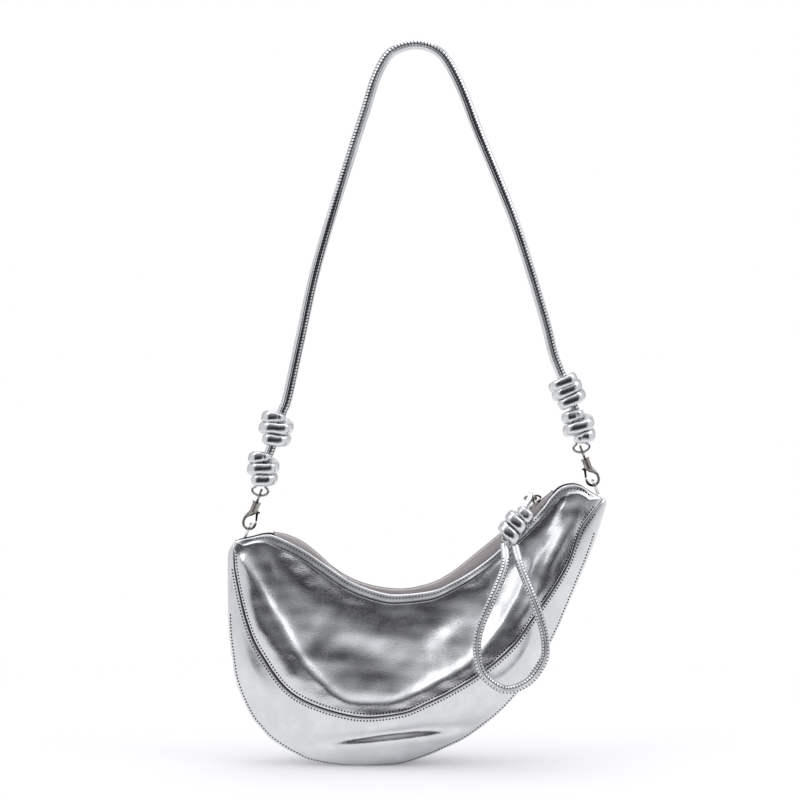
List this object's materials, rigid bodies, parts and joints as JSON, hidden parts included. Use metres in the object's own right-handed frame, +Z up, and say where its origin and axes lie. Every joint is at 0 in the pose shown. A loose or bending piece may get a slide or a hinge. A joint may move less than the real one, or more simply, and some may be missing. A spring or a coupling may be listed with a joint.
{
  "type": "crescent shoulder bag",
  "caption": "Slouchy crescent shoulder bag of foil leather with a zipped mouth, a wound leather zip pull with a loop, and a cord strap knotted above swivel snap hooks.",
  "frame": {"origin": "middle of the overall box at the flat base that the bag stands on", "axes": "+X along the bag towards its high corner, +Y from front to back, +Z up towards the strap's top"},
  "size_m": [0.2796, 0.0768, 0.5357],
  "materials": {
    "silver_leather": "metallic foil with fine grain",
    "lining": "matte woven",
    "zip_tape": "matte woven",
    "nickel": "polished"
  },
  "bodies": {
    "bag": {"front_facing": "silver_leather", "back_facing": "silver_leather", "front_panel": "silver_leather", "back_panel": "silver_leather", "front_crescent": "silver_leather", "back_crescent": "silver_leather", "front_lining": "lining", "back_lining": "lining", "back_slip_pocket": "lining", "front_zip_tape": "zip_tape", "back_zip_tape": "zip_tape", "front_zip_teeth": "nickel", "back_zip_teeth": "nickel", "closed_end_stop": "nickel", "front_open_end_stop": "nickel", "back_open_end_stop": "nickel", "left_corner_loop": "silver_leather", "right_corner_loop": "silver_leather"},
    "strap": {"strap": "silver_leather", "left_upper_knot": "silver_leather", "left_lower_knot": "silver_leather", "right_upper_knot": "silver_leather", "right_lower_knot": "silver_leather", "left_eye_loop": "silver_leather", "right_eye_loop": "silver_leather", "left_hook_eye": "nickel", "right_hook_eye": "nickel"},
    "left_hook": {"left_hook_body": "nickel", "left_gate_pin": "nickel", "left_gate_spring": "nickel"},
    "right_hook": {"right_hook_body": "nickel", "right_gate_pin": "nickel", "right_gate_spring": "nickel"},
    "left_gate": {"left_hook_gate": "nickel"},
    "right_gate": {"right_hook_gate": "nickel"},
    "slider": {"zip_slider": "nickel"},
    "pull_ring": {"pull_ring": "nickel"},
    "pull": {"pull_link": "silver_leather", "pull_knot": "silver_leather", "pull_loop": "silver_leather"}
  },
  "joints": [
    {"name": "strap_swing", "type": "hinge", "parent": "bag", "child": "strap", "pos_m": [-0.12487, 0.00438, 0.1752], "axis": [0.9922, 0, 0.1246], "range_deg": [-90, 90]},
    {"name": "left_hook_swivel", "type": "hinge", "parent": "strap", "child": "left_hook", "pos_m": [-0.11741, 0.00438, 0.19526], "axis": [0.3486, 0, 0.9373], "range_deg": [-12, 12]},
    {"name": "right_hook_swivel", "type": "hinge", "parent": "strap", "child": "right_hook", "pos_m": [0.1254, 0.00438, 0.22759], "axis": [-0.3567, 0, 0.9342], "range_deg": [-12, 12]},
    {"name": "left_gate_turn", "type": "hinge", "parent": "left_hook", "child": "left_gate", "pos_m": [-0.118, 0.00438, 0.18822], "axis": [0, 1, 0], "range_deg": [0, 24], "stiffness_Nm_per_rad": 0.01, "springref_deg": -17.19},
    {"name": "right_gate_turn", "type": "hinge", "parent": "right_hook", "child": "right_gate", "pos_m": [0.12605, 0.00438, 0.22056], "axis": [0, -1, 0], "range_deg": [0, 24], "stiffness_Nm_per_rad": 0.01, "springref_deg": -17.19},
    {"name": "zip_slide", "type": "slide", "parent": "bag", "child": "slider", "axis": [-0.7733, 0, -0.6341], "range_m": [0, 0.05], "deforming": ["front_zip_teeth", "back_zip_teeth"]},
    {"name": "ring_turn", "type": "hinge", "parent": "slider", "child": "pull_ring", "pos_m": [0.0894, 0.00438, 0.19771], "axis": [0, 1, 0], "range_deg": [0, 60]},
    {"name": "pull_lift", "type": "hinge", "parent": "pull_ring", "child": "pull", "pos_m": [0.08521, 0.00057, 0.19949], "axis": [-1, 0, 0], "range_deg": [0, 100]}
  ]
}
